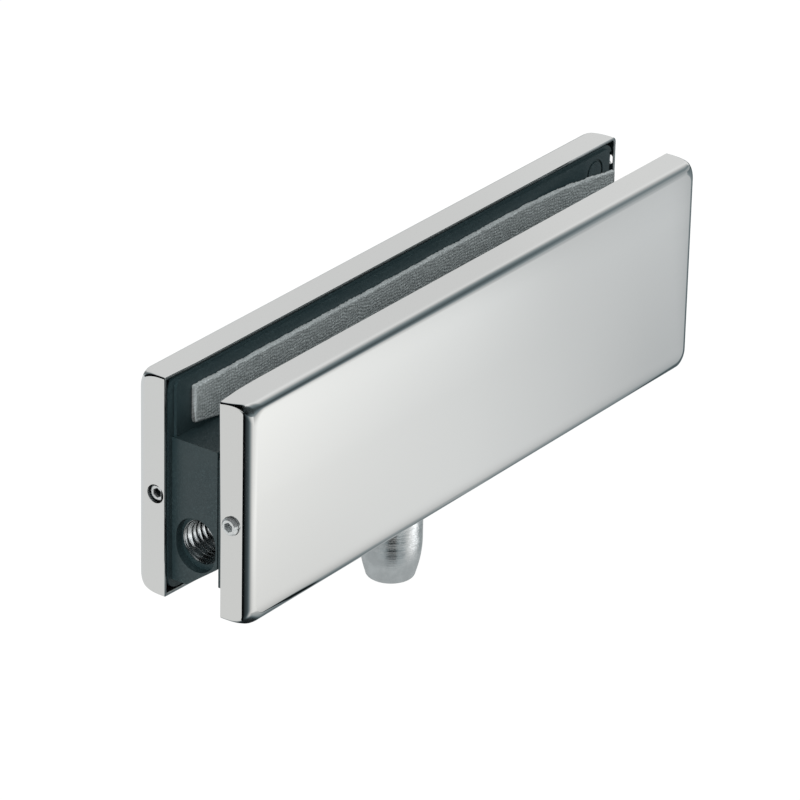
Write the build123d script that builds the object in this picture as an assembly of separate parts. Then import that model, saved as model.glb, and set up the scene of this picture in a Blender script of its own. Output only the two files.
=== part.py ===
import os
from math import asin, cos, sin

from build123d import *

# Patch fitting that clamps the lower edge of a fixed glass pane and carries a pivot pin below it.
# The pin's axis is the Z axis, Y = 0 is the middle of the glass, the front is -Y, the near end is -X.
# Heights below are measured from the covers' underside; the last step lifts the whole fitting by
# cover_lift, so that Z = 0 is the top of the pin's running length. All sizes are in millimetres.

# Overall sizes
cover_length = 164.0
cover_height = 51.0
cover_depth = 7.8
lip_gap = 14.4
pivot_from_near_end = 70.0
cover_lift = 0.5

# Sheet steel covers
sheet = 0.8
face_edge_radius = 2.2
face_corner_radius = 4.2
lip_corner_radius = 1.0
corner_opens_below_lip = 3.8
screw_hole_radius = 2.12
pin_notch_margin = 0.6
drain_hole_width = 1.2
drain_hole_height = 2.3
drain_hole_from_lip = 0.8
drain_hole_from_top = 5.7
drain_relief = 1.5

# Cast clamp plates, the same size on both sides
plate_side_gap = 0.35
plate_face_gap = 0.3
plate_corner_radius = 3.0
pad_face = 6.8
pad_rise = 0.7
pad_end_inset = 3.0
pad_top_inset = 1.8
pad_corner_radius = 1.5
front_pad_bottom = 5.8
pocket_depth = 3.2
pocket_width = 14.0
pocket_edge = 5.0
pocket_corner_radius = 2.0
pocket_rib = 3.5
pad_mark_radius = 3.1
pad_mark_width = 0.6
pad_mark_depth = 0.35
pad_mark_from_far_end = 8.7
pad_mark_from_top = 6.0

# Upright lug on the front plate's near end, beside the block
lug_face = 5.8
lug_thickness = 1.0
lug_bottom = 6.2
lug_top = 36.2

# Block cast in one with the back plate
block_front = -4.4
block_bottom = 3.4
block_top_inset = 14.4
block_near_inset = 2.5
block_far_inset = 14.0
block_edge_radius = 0.6
bevel_width = 8.0
bevel_height = 6.0

# Tapped hole for the wall anchor, in the block's near end
anchor_y = 1.2
anchor_height = 13.3
anchor_thread_radius = 5.0
anchor_thread_length = 23.0
anchor_mouth_width = 10.4
anchor_mouth_height = 12.4
anchor_mouth_depth = 2.0

# Pivot pin and the grub screw that locks it
pin_radius = 7.0
pin_neck_radius = 6.6
pin_straight = 10.5
pin_taper_length = 8.6
pin_taper_radius = 5.6
pin_tip_round = 0.9
shank_radius = 5.0
shank_length = 22.6
shank_chamfer = 0.8
shank_clearance = 0.03
boss_wall = 1.6
boss_top_wall = 1.4
lock_screw_radius = 3.0
lock_screw_length = 8.0
lock_screw_key = 3.0
lock_screw_up_shank = 12.6

# Gaskets of pressed woven fibre
gasket_thickness = 1.2
gasket_seat_gap = 0.05
gasket_near_inset = 8.0
gasket_far_inset = 8.0
gasket_above_block = 0.3
gasket_height = 9.8
gasket_cut_length = 9.0
gasket_cut_height = 1.5
gasket_bow_length = 31.0
gasket_bow_depth = 4.0

# Countersunk clamp screws, size M8, and the jaw's closing travel
clamp_screw_radius = 4.0
clamp_screw_clearance = 0.3
clamp_thread_clearance = 0.05
clamp_head_radius = 7.9
clamp_head_land = 0.5
clamp_head_sink = 0.35
clamp_head_clearance = 0.06
clamp_screw_length = 25.0
clamp_screw_key = 5.0
clamp_screw_key_depth = 3.2
clamp_screw_near_inset = 30.0
clamp_screw_far_inset = 30.0
clamp_screw_height = 28.0
jaw_closing = 2.0
jaw_pin_clearance = 0.4

# Grub screws that hold the covers, size M4
grub_radius = 2.0
grub_length = 6.0
grub_key = 2.0
grub_key_depth = 2.0
grub_clearance = 0.03
grub_bore_depth = 9.0
grub_from_middle = 10.0
back_grub_height = 23.6
front_grub_height = 22.5
grub_sunk = 0.6
front_near_grub_proud = 1.0

# Places worked out from the sizes above
near_end = -pivot_from_near_end
far_end = near_end + cover_length
middle_x = (near_end + far_end) / 2
lip = lip_gap / 2
outer_face = lip + cover_depth
plate_back = outer_face - sheet - plate_face_gap
plate_face = pad_face + pad_rise
plate_near = near_end + sheet + plate_side_gap
plate_far = far_end - sheet - plate_side_gap
plate_bottom = sheet + plate_side_gap
plate_top = cover_height - sheet - plate_side_gap
pad_near = near_end + pad_end_inset
pad_far = far_end - pad_end_inset
pad_top = cover_height - pad_top_inset
block_near = near_end + block_near_inset
block_far = far_end - block_far_inset
block_top = cover_height - block_top_inset
boss_radius = shank_radius + boss_wall
boss_top = block_bottom + shank_length + boss_top_wall
pin_channel_radius = pin_radius + jaw_closing + jaw_pin_clearance
near_screw_x = near_end + clamp_screw_near_inset
far_screw_x = far_end - clamp_screw_far_inset
gasket_near = near_end + gasket_near_inset
gasket_far = far_end - gasket_far_inset
gasket_bottom = block_top + gasket_above_block
gasket_top = gasket_bottom + gasket_height
gasket_back = pad_face - gasket_seat_gap
lock_screw_height = block_bottom + lock_screw_up_shank


def front_slab(outline, start, end):
    """Carry a flat X-Z outline from start to end, both measured forwards (-Y) from the middle."""
    return extrude(Plane.XZ.offset(start) * outline, end - start)


def rounded_panel(x_low, x_high, z_low, z_high, radius):
    """Flat X-Z rectangle between two corners, with rounded corners."""
    centre = Pos((x_low + x_high) / 2, (z_low + z_high) / 2)
    return centre * RectangleRounded(x_high - x_low, z_high - z_low, radius)


def mirrored(shape):
    """The same shape on the other side of the glass."""
    return mirror(shape, Plane.XZ)


def pan_outline(depth, inset, radius):
    """The covers' rectangular outline at a depth from the middle, made smaller all round by the inset."""
    outline = RectangleRounded(cover_length - 2 * inset, cover_height - 2 * inset, radius - inset)
    return Plane.XZ.offset(depth) * Pos(middle_x, cover_height / 2) * outline


def pan_outside():
    """The covers' outer form: the corners stay nearly sharp half-way down from the lip, and then open
    out to round at the face."""
    solid = loft(
        [
            pan_outline(lip, 0, lip_corner_radius),
            pan_outline(lip + corner_opens_below_lip, 0, lip_corner_radius),
            pan_outline(outer_face, 0, face_corner_radius),
        ],
        ruled=True,
    )
    return fillet(solid.faces().sort_by(Axis.Y)[0].edges(), face_edge_radius)


def pan_inside():
    """The hollow of the covers, one sheet thickness inside, bevelled where the outside is rounded."""
    bevel = (face_edge_radius - sheet) * 0.7
    floor = outer_face - sheet
    return loft(
        [
            pan_outline(lip, sheet, lip_corner_radius),
            pan_outline(lip + corner_opens_below_lip, sheet, lip_corner_radius),
            pan_outline(floor - bevel, sheet, face_corner_radius - bevel),
            pan_outline(floor, sheet + bevel, face_corner_radius),
        ],
        ruled=True,
    )


def cover(grub_height):
    """Pressed sheet cover with a turned-in edge, screw holes in its ends and a notch for the pin,
    as it lies on the front."""
    shell = pan_outside() - pan_inside()
    hole = Cylinder(screw_hole_radius, cover_length * 2, rotation=(0, 90, 0))
    shell -= Pos(middle_x, -grub_from_middle, grub_height) * hole
    notch_radius = pin_radius + jaw_closing + pin_notch_margin
    notch = Cylinder(notch_radius, 4 * sheet)
    return shell - notch


def back_cover():
    """Cover on the back, with a small upright slot in its far end."""
    slot = extrude(
        Plane.YZ * SlotOverall(drain_hole_height, drain_hole_width, rotation=90),
        2 * sheet,
        both=True,
    )
    place = Pos(far_end, lip + drain_hole_from_lip, cover_height - drain_hole_from_top)
    return mirrored(cover(back_grub_height)) - place * slot


def pocket_centres():
    """Middle of each pocket along X: as many as fit between the plate's solid ends."""
    pitch = pocket_width + pocket_rib
    room = (plate_far - plate_near) - 2 * (grub_bore_depth + pocket_rib)
    count = int((room + pocket_rib) // pitch)
    start = middle_x - (count - 1) * pitch / 2
    return [start + i * pitch for i in range(count)]


def keeps_clear(x, spots):
    """True where a pocket at x leaves metal round each of the spots, given as (x, radius)."""
    return all(abs(x - place) - pocket_width / 2 > radius + pocket_rib / 2 for place, radius in spots)


def clamp_plate(pad_bottom, solid_spots, grub_height):
    """Cast plate with a raised pad towards the glass and upright relief pockets under the cover."""
    plate = front_slab(
        rounded_panel(plate_near, plate_far, plate_bottom, plate_top, plate_corner_radius),
        plate_face,
        plate_back,
    )
    plate = chamfer(plate.faces().sort_by(Axis.Y)[0].edges(), face_edge_radius - sheet)
    plate += front_slab(
        rounded_panel(pad_near, pad_far, pad_bottom, pad_top, pad_corner_radius),
        pad_face,
        plate_face,
    )
    pocket = RectangleRounded(
        pocket_width, plate_top - plate_bottom - 2 * pocket_edge, pocket_corner_radius
    )
    for x in pocket_centres():
        if keeps_clear(x, solid_spots):
            place = Pos(x, (plate_bottom + plate_top) / 2)
            plate -= front_slab(place * pocket, plate_back - pocket_depth, plate_back + sheet)
    bore = Cylinder(grub_radius + grub_clearance, grub_bore_depth, rotation=(0, 90, 0))
    for x in (plate_near + grub_bore_depth / 2, plate_far - grub_bore_depth / 2):
        plate -= Pos(x, -grub_from_middle, grub_height) * bore
    return plate


def front_clamp_plate():
    """Moving plate: countersunk for the clamp screws, grooved to clear the pin and its boss, and with
    a lug beside the block."""
    head = clamp_head_radius + clamp_head_clearance
    spots = [(near_screw_x, head), (far_screw_x, head), (0.0, pin_channel_radius)]
    plate = clamp_plate(front_pad_bottom, spots, front_grub_height)
    lug = rounded_panel(
        plate_near, plate_near + lug_thickness, lug_bottom, lug_top, lug_thickness / 4
    )
    plate += front_slab(lug, lug_face, plate_face + lug_thickness / 4)
    hole = clamp_screw_radius + clamp_screw_clearance
    head_face = clamp_head_sink - plate_back
    seat = Polyline(
        (0, -outer_face),
        (head, -outer_face),
        (head, head_face + clamp_head_land),
        (hole, head_face + clamp_head_land + head - hole),
        (hole, 0),
        (0, 0),
        close=True,
    )
    cutter = revolve(make_face(seat), Axis.Y)
    for x in (near_screw_x, far_screw_x):
        plate -= Pos(x, 0, clamp_screw_height) * cutter
    channel_height = boss_top + jaw_closing
    channel = Cylinder(
        pin_channel_radius, channel_height, align=(Align.CENTER, Align.CENTER, Align.MIN)
    )
    return plate - channel


def block():
    """Cast block under the glass, with its lower front edge bevelled along its whole length."""
    profile = Polyline(
        (plate_face, block_bottom),
        (plate_face, block_top),
        (block_front, block_top),
        (block_front, block_bottom + bevel_height),
        (block_front + bevel_width, block_bottom),
        close=True,
    )
    bar = extrude(Plane.YZ.offset(block_near) * make_face(profile), block_far - block_near)
    rounded = bar.edges().filter_by(Axis.X).group_by(Axis.Y)[0]
    return fillet(rounded, block_edge_radius)


def back_body():
    """Fixed casting: clamp plate, block and pin boss in one, with its tapped holes and pin bore."""
    tapped = clamp_screw_radius + clamp_thread_clearance
    spots = [(near_screw_x, tapped), (far_screw_x, tapped), (0.0, lock_screw_radius)]
    body = mirrored(clamp_plate(block_bottom, spots, back_grub_height))
    body += block()
    boss = Cylinder(
        boss_radius, boss_top - block_bottom, align=(Align.CENTER, Align.CENTER, Align.MIN)
    )
    body += Pos(0, 0, block_bottom) * boss

    thread = Cylinder(
        anchor_thread_radius,
        anchor_thread_length + anchor_mouth_depth,
        rotation=(0, 90, 0),
        align=(Align.CENTER, Align.CENTER, Align.MIN),
    )
    mouth = extrude(
        Plane.YZ * SlotOverall(anchor_mouth_height, anchor_mouth_width, rotation=90),
        anchor_mouth_depth,
    )
    body -= Pos(block_near, anchor_y, anchor_height) * (thread + mouth)

    shank_bore = Cylinder(
        shank_radius + shank_clearance,
        shank_length + shank_clearance,
        align=(Align.CENTER, Align.CENTER, Align.MIN),
    )
    body -= Pos(0, 0, block_bottom) * shank_bore
    lock_bore = Cylinder(
        lock_screw_radius + grub_clearance,
        plate_back,
        rotation=(-90, 0, 0),
        align=(Align.CENTER, Align.CENTER, Align.MIN),
    )
    body -= Pos(0, 0, lock_screw_height) * lock_bore

    screw_bore = Cylinder(tapped, 2 * outer_face, rotation=(90, 0, 0))
    for x in (near_screw_x, far_screw_x):
        body -= Pos(x, 0, clamp_screw_height) * screw_bore

    relief_middle = cover_height - drain_hole_from_top
    relief = rounded_panel(
        plate_far - drain_relief,
        far_end,
        relief_middle - drain_hole_height,
        relief_middle + drain_hole_height,
        drain_hole_width / 2,
    )
    body -= mirrored(front_slab(relief, lip, plate_face + drain_relief))

    mark = Cylinder(pad_mark_radius, 2 * pad_mark_depth, rotation=(90, 0, 0)) - Cylinder(
        pad_mark_radius - pad_mark_width, 2 * pad_mark_depth, rotation=(90, 0, 0)
    )
    return body - Pos(far_end - pad_mark_from_far_end, pad_face, cover_height - pad_mark_from_top) * mark


def pivot_pin():
    """Turned pin: shank in the block, neck, straight running part, barrel taper and a flat end."""
    shoulder = block_bottom
    top = shoulder + shank_length
    straight_end = -cover_lift - pin_straight
    taper_end = straight_end - pin_taper_length
    outline = (
        Line((0, top), (shank_radius - shank_chamfer, top))
        + Line((shank_radius - shank_chamfer, top), (shank_radius, top - shank_chamfer))
        + Line((shank_radius, top - shank_chamfer), (shank_radius, shoulder))
        + Line((shank_radius, shoulder), (pin_neck_radius, shoulder))
        + Line((pin_neck_radius, shoulder), (pin_neck_radius, -cover_lift))
        + Line((pin_neck_radius, -cover_lift), (pin_radius, -cover_lift))
        + Line((pin_radius, -cover_lift), (pin_radius, straight_end))
        + TangentArc((pin_radius, straight_end), (pin_taper_radius, taper_end), tangent=(0, -1))
        + ThreePointArc(
            (pin_taper_radius, taper_end),
            (
                pin_taper_radius - 0.35 * pin_tip_round,
                taper_end - 0.75 * pin_tip_round,
            ),
            (pin_taper_radius - pin_tip_round, taper_end - pin_tip_round),
        )
        + Line(
            (pin_taper_radius - pin_tip_round, taper_end - pin_tip_round),
            (0, taper_end - pin_tip_round),
        )
        + Line((0, taper_end - pin_tip_round), (0, top))
    )
    return revolve(Plane.XZ * make_face(outline), Axis.Z)


def socket(key, depth):
    """Hexagonal key socket that runs from the origin along +Z."""
    return extrude(RegularPolygon(key / 2, 6, major_radius=False), depth)


def grub_screw(radius, length, key, depth):
    """Headless screw from the origin along +Z, with its key socket at the origin."""
    chamfer_size = radius / 5
    body = Cylinder(radius, length, align=(Align.CENTER, Align.CENTER, Align.MIN))
    body = chamfer(body.edges().filter_by(GeomType.CIRCLE), chamfer_size)
    return body - socket(key, depth)


def cover_grub_screw(outer_end, direction, y, height):
    """Cover screw with its socket end at X = outer_end, pointing along +X or -X into the plate."""
    screw = grub_screw(grub_radius, grub_length, grub_key, grub_key_depth)
    return Pos(outer_end, y, height) * Rot(0, 90 * direction, 0) * screw


def pin_lock_screw():
    """Grub screw that enters from under the back cover and bears on the pin's shank."""
    screw = grub_screw(lock_screw_radius, lock_screw_length, lock_screw_key, lock_screw_length / 2)
    outer_end = shank_radius + shank_clearance + lock_screw_length
    return Pos(0, outer_end, lock_screw_height) * Rot(90, 0, 0) * screw


def clamp_screw(x):
    """Countersunk screw through the front plate into the block, head towards the front."""
    head_face = clamp_head_sink - plate_back
    tip = head_face + clamp_screw_length
    tip_chamfer = clamp_screw_radius / 5
    profile = Polyline(
        (0, head_face),
        (clamp_head_radius, head_face),
        (clamp_head_radius, head_face + clamp_head_land),
        (clamp_screw_radius, head_face + clamp_head_land + clamp_head_radius - clamp_screw_radius),
        (clamp_screw_radius, tip - tip_chamfer),
        (clamp_screw_radius - tip_chamfer, tip),
        (0, tip),
        close=True,
    )
    screw = revolve(make_face(profile), Axis.Y)
    screw -= Pos(0, head_face, 0) * Rot(-90, 0, 0) * socket(clamp_screw_key, clamp_screw_key_depth)
    return Pos(x, 0, clamp_screw_height) * screw


def front_gasket():
    """Flat strip on the front pad."""
    outline = Pos((gasket_near + gasket_far) / 2, (gasket_bottom + gasket_top) / 2) * Rectangle(
        gasket_far - gasket_near, gasket_top - gasket_bottom
    )
    return front_slab(outline, gasket_back - gasket_thickness, gasket_back)


def back_gasket():
    """Strip on the back pad whose far end curls away towards the glass."""
    bow_start = gasket_far - gasket_bow_length
    back_radius = (gasket_bow_length**2 + gasket_bow_depth**2) / (2 * gasket_bow_depth)
    face_radius = back_radius - gasket_thickness
    turn = asin(gasket_bow_length / back_radius)
    centre_y = gasket_back - back_radius
    back_end = (gasket_far, centre_y + back_radius * cos(turn))
    face_end = (bow_start + face_radius * sin(turn), centre_y + face_radius * cos(turn))
    face_y = gasket_back - gasket_thickness
    section = (
        Line((gasket_near, gasket_back), (bow_start, gasket_back))
        + TangentArc((bow_start, gasket_back), back_end, tangent=(1, 0))
        + Line(back_end, face_end)
        + TangentArc((bow_start, face_y), face_end, tangent=(1, 0))
        + Line((bow_start, face_y), (gasket_near, face_y))
        + Line((gasket_near, face_y), (gasket_near, gasket_back))
    )
    strip = extrude(Plane.XY.offset(gasket_bottom) * make_face(section), gasket_top - gasket_bottom)
    corner = Polyline(
        (gasket_near, gasket_bottom),
        (gasket_near + gasket_cut_length, gasket_bottom),
        (gasket_near, gasket_bottom + gasket_cut_height),
        close=True,
    )
    return strip - front_slab(make_face(corner), -plate_face, 0)


nodes = {
    "back_body": back_body(),
    "front_clamp_plate": front_clamp_plate(),
    "back_cover": back_cover(),
    "front_cover": cover(front_grub_height),
    "back_gasket": back_gasket(),
    "front_gasket": front_gasket(),
    "pivot_pin": pivot_pin(),
    "pin_lock_screw": pin_lock_screw(),
    "near_clamp_screw": clamp_screw(near_screw_x),
    "far_clamp_screw": clamp_screw(far_screw_x),
    "back_near_cover_screw": cover_grub_screw(
        near_end + grub_sunk, 1, grub_from_middle, back_grub_height
    ),
    "back_far_cover_screw": cover_grub_screw(
        far_end - grub_sunk, -1, grub_from_middle, back_grub_height
    ),
    "front_near_cover_screw": cover_grub_screw(
        near_end - front_near_grub_proud, 1, -grub_from_middle, front_grub_height
    ),
    "front_far_cover_screw": cover_grub_screw(
        far_end - grub_sunk, -1, -grub_from_middle, front_grub_height
    ),
}

os.makedirs("parts", exist_ok=True)
for name, shape in nodes.items():
    export_step(Pos(0, 0, cover_lift) * shape, f"parts/{name}.step")
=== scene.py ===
import math
import bmesh
import bpy
import numpy as np
from mathutils import Matrix, Vector


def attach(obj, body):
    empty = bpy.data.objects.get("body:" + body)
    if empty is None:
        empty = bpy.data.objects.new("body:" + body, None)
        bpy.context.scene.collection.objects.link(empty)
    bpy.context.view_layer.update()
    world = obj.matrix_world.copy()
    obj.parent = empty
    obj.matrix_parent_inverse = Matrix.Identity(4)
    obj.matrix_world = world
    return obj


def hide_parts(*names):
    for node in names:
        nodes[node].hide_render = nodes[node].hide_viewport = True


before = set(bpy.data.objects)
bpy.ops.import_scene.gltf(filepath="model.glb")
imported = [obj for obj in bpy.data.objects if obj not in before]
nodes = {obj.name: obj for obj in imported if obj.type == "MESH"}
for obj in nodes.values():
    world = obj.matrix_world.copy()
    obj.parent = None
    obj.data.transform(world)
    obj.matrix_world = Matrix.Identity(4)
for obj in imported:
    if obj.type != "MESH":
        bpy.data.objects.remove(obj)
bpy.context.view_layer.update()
mm = 0.001
print("frame loaded:", len(nodes), "solids")


# small helpers for node trees and meshes

def put(tree, kind, inputs=None, **settings):
    # adds a node; an input given as a socket is linked, anything else is set as its value
    node = tree.nodes.new("ShaderNode" + kind)
    for name, value in settings.items():
        setattr(node, name, value)
    for name, value in (inputs or {}).items():
        if isinstance(value, bpy.types.NodeSocket):
            tree.links.new(value, node.inputs[name])
        else:
            node.inputs[name].default_value = value
    return node


def calc(tree, operation, first, second=0.0, third=0.0, clamp=False):
    # one Math node, as its output
    return put(tree, "Math", {0: first, 1: second, 2: third}, operation=operation, use_clamp=clamp).outputs[0]


def times(tree, first, second):
    # the product of two values
    return calc(tree, "MULTIPLY", first, second)


def spread(tree, value, low, high, start, end, kind="SMOOTHSTEP"):
    # value from low..high mapped smoothly to start..end
    return put(tree, "MapRange", {0: value, 1: low, 2: high, 3: start, 4: end}, interpolation_type=kind).outputs[0]


def evenly(tree, value, low, high, start, end):
    # value from low..high mapped in a straight line to start..end
    return spread(tree, value, low, high, start, end, "LINEAR")


def ramp(tree, value, stops):
    # straight lines between grey stops given as (place, tone), the places from 0 to 1
    node = put(tree, "ValToRGB", {0: value})
    node.color_ramp.interpolation = "LINEAR"
    elements = node.color_ramp.elements
    for place, tone in stops[2:]:
        elements.new(place)
    for element, (place, tone) in zip(elements, stops):
        element.position = place
        element.color = (tone, tone, tone, 1)
    return node.outputs[0]


def staged(tree, value, stops):
    # straight lines between stops given as (place, level), with the end levels beyond the ends
    low, high = stops[0][0], stops[-1][0]
    return ramp(tree, evenly(tree, value, low, high, 0, 1), [((p - low) / (high - low), level) for p, level in stops])


def blend(tree, share, start, end):
    # a number that goes from start to end as the share goes from 0 to 1
    return put(tree, "Mix", {"Factor": share, 2: start, 3: end}).outputs[0]


def opaque(colour):
    # red, green and blue with full alpha; a socket stays as it is
    return colour if isinstance(colour, bpy.types.NodeSocket) else (*colour, 1)


def blendColour(tree, share, start, end):
    # a colour that goes from start to end as the share goes from 0 to 1
    colours = {"Factor": share, 6: opaque(start), 7: opaque(end)}
    return put(tree, "Mix", colours, data_type="RGBA").outputs[2]


def between(tree, value, stops):
    # straight mixing between sockets given as (place, socket), with the end ones beyond the ends
    result = stops[0][1]
    for before, after in zip(stops, stops[1:]):
        result = blend(tree, evenly(tree, value, before[0], after[0], 0, 1), result, after[1])
    return result


def distance(tree, x, y, fromX=0.0, fromY=0.0):
    # the distance in plan: sqrt((x - fromX)^2 + (y - fromY)^2)
    offset = put(tree, "CombineXYZ", {0: calc(tree, "SUBTRACT", x, fromX), 1: calc(tree, "SUBTRACT", y, fromY)})
    return put(tree, "VectorMath", {0: offset.outputs[0]}, operation="LENGTH").outputs["Value"]


def bearing(tree, rise, run, low=None):
    # the angle atan2(rise, run) in degrees, counted from low where it is given
    angle = times(tree, calc(tree, "ARCTAN2", rise, run), 180 / math.pi)
    return angle if low is None else calc(tree, "WRAP", angle, low + 360.0, low)


def noise(tree, where, scale, detail, roughness=0.5):
    # layered noise at a place, from 0 to 1
    inputs = {"Vector": where, "Scale": scale, "Detail": detail, "Roughness": roughness}
    return put(tree, "TexNoise", inputs).outputs[0]


def bumped(tree, height, strength, depth):
    # a normal that stands up with the height
    return put(tree, "Bump", {"Strength": strength, "Distance": depth, "Height": height}).outputs[0]


def darker(colour, share):
    # each part of the colour times the share
    return tuple(part * share for part in colour)


def freshMaterial(name):
    # an empty material and its tree
    material = bpy.data.materials.new(name)
    material.use_nodes = True
    material.node_tree.nodes.clear()
    return material, material.node_tree


def onObject(tree):
    # the place on the object, in metres
    return put(tree, "TexCoord").outputs["Object"]


def finishMaterial(tree, inputs):
    # one principled surface and the output
    surface = put(tree, "BsdfPrincipled", inputs)
    put(tree, "OutputMaterial", {"Surface": surface.outputs[0]})


def gridMesh(name, points, closeAcross=False, closeAlong=False, flip=False, capEnds=False):
    # points[i, j] is the surface at (along i, across j); quads join neighbours and wrap where a side is closed
    rows, columns = points.shape[:2]
    i = np.arange(rows if closeAlong else rows - 1)
    j = np.arange(columns if closeAcross else columns - 1)
    a, b = np.meshgrid(i, j, indexing="ij")
    c, d = (a + 1) % rows, (b + 1) % columns
    quads = np.stack([a * columns + b, c * columns + b, c * columns + d, a * columns + d], axis=-1).reshape(-1, 4)
    faces = (quads[:, ::-1] if flip else quads).tolist()
    if capEnds:
        first, last = np.arange(columns), (rows - 1) * columns + np.arange(columns)
        faces += [(first if not flip else first[::-1]).tolist(), (last[::-1] if not flip else last).tolist()]
    mesh = bpy.data.meshes.new(name)
    mesh.from_pydata(points.reshape(-1, 3).tolist(), [], faces)
    mesh.update()
    mesh.shade_smooth()
    piece = bpy.data.objects.new(name, mesh)
    bpy.context.scene.collection.objects.link(piece)
    return piece


# the camera, worked out from the photograph

cameraSet = {
    "place": (-0.8410, -0.6089, 0.5248),
    "yaw": 54.167, "pitch": 25.821, "roll": 1.284,     # degrees: to the right of +Y, down, and tilted
    "lens": 239.67, "sensor": 36.0,                    # mm
    "clip": (0.01, 20.0),                              # metres
}


def makeCamera():
    # forward = (sin yaw cos pitch, cos yaw cos pitch, -sin pitch), right lies level, and roll turns right and up
    yaw, pitch, roll = (math.radians(cameraSet[k]) for k in ("yaw", "pitch", "roll"))
    forward = Vector((math.sin(yaw) * math.cos(pitch), math.cos(yaw) * math.cos(pitch), -math.sin(pitch)))
    right = Vector((math.cos(yaw), -math.sin(yaw), 0))
    up = right.cross(forward)
    across = math.cos(roll) * right + math.sin(roll) * up
    upward = -math.sin(roll) * right + math.cos(roll) * up
    camera = bpy.data.objects.new("photoCamera", bpy.data.cameras.new("photoCamera"))
    turned = Matrix((across, upward, -forward)).transposed().to_4x4()
    camera.matrix_world = Matrix.Translation(cameraSet["place"]) @ turned
    camera.data.lens, camera.data.sensor_width = cameraSet["lens"], cameraSet["sensor"]
    camera.data.clip_start, camera.data.clip_end = cameraSet["clip"]
    bpy.context.scene.collection.objects.link(camera)
    bpy.context.scene.camera = camera


makeCamera()
print("camera set")


# the studio: world, floor and lamps

lightSet = {
    "steelTone": 0.80,                       # what the covers give back of the tones below
    "gamma": 2.2,                            # tones are as seen, light is tone ^ gamma
    "fill": 0.80,                            # what matt surfaces get from all round
    "coolShade": (0.72, 0.93, 1.0),          # the tint of the dark parts of the room
    "paleTint": (1, 1, .99), "coolSpan": (.05, .6),       # the tint of its bright parts, and the light where it changes
    # what the metal sees, by the turn of the direction from straight ahead (0) over the top (90) to behind (180)
    "skyNear": [
        (0, .54), (5, .44), (15, .286), (25, .314), (34, .416), (44, .486), (54, .58), (64, .698), (74, .784),
        (84, .835), (96, .86), (121, .815), (180, .80)],
    "skyMiddle": [
        (0, .515), (5, .486), (15, .427), (25, .357), (35, .353), (46, .408), (56, .463), (67, .545), (77, .655),
        (88, .776), (98, .83), (121, .815), (180, .80)],
    "skyFar": [
        (0, .594), (5, .584), (15, .573), (26, .514), (37, .47), (48, .525), (58, .60), (69, .67), (80, .75),
        (90, .81), (101, .835), (121, .815), (180, .80)],
    "skies": ((.716, "skyNear"), (.749, "skyMiddle"), (.769, "skyFar")),     # by x of the direction
    "alongSpan": (.705, .785),                                               # x of the direction, from 0 to 1 below
    "skyAlong": [(0, .985), (.19, .985), (.28, .977), (.55, .975), (.69, 1.003), (1, 1.015)],
    # the dark room that the near corners show, by the compass angle of the direction
    "corner": [
        (0, 1), (80, .96), (98, .60), (112, .06), (156, .03), (168, .12), (181, .24), (192, .29), (204, .32),
        (215, .38), (227, .54), (238, .71), (250, .86), (262, .94), (275, 1), (360, 1)],
    "overhead": (.86, .96),                  # z of the direction from which the room isn't dark
}


def lightFor(tree, tone):
    # the light that steel needs to show a tone: tone ^ gamma / steelTone
    return calc(tree, "DIVIDE", calc(tree, "POWER", tone, lightSet["gamma"]), lightSet["steelTone"])


def makeWorld():
    # matt surfaces get an even fill; metal sees a pale backdrop behind the clamp, a soft box above it and a dark room
    # in front: the tone follows the turn atan2(z, -y) and the compass angle atan2(y, x) of the direction
    s = lightSet
    white = (1, 1, 1)
    world = bpy.data.worlds.new("studio")
    bpy.context.scene.world = world
    world.use_nodes = True
    tree = world.node_tree
    tree.nodes.clear()
    x, y, z = put(tree, "SeparateXYZ", {0: put(tree, "TexCoord").outputs["Generated"]}).outputs
    turn = bearing(tree, z, times(tree, y, -1.0))
    sky = between(tree, x, [(place, staged(tree, turn, s[name])) for place, name in s["skies"]])
    sky = times(tree, sky, ramp(tree, evenly(tree, x, *s["alongSpan"], 0, 1), s["skyAlong"]))
    corner = staged(tree, bearing(tree, y, x, 0.0), s["corner"])
    corner = blend(tree, spread(tree, z, *s["overhead"], 0, 1), corner, 1.0)
    light = lightFor(tree, times(tree, sky, corner))
    tint = blendColour(tree, spread(tree, light, *s["coolSpan"], 0, 1), s["coolShade"], s["paleTint"])
    path = put(tree, "LightPath").outputs
    level = blend(tree, path["Is Glossy Ray"], s["fill"], light)
    colour = blendColour(tree, path["Is Glossy Ray"], white, tint)
    seen = calc(tree, "MAXIMUM", path["Is Camera Ray"], path["Is Transmission Ray"])
    level = blend(tree, seen, level, 1.0)
    colour = blendColour(tree, seen, colour, white)
    background = put(tree, "Background", {"Color": colour, "Strength": level})
    put(tree, "OutputWorld", {"Surface": background.outputs[0]})


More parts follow.
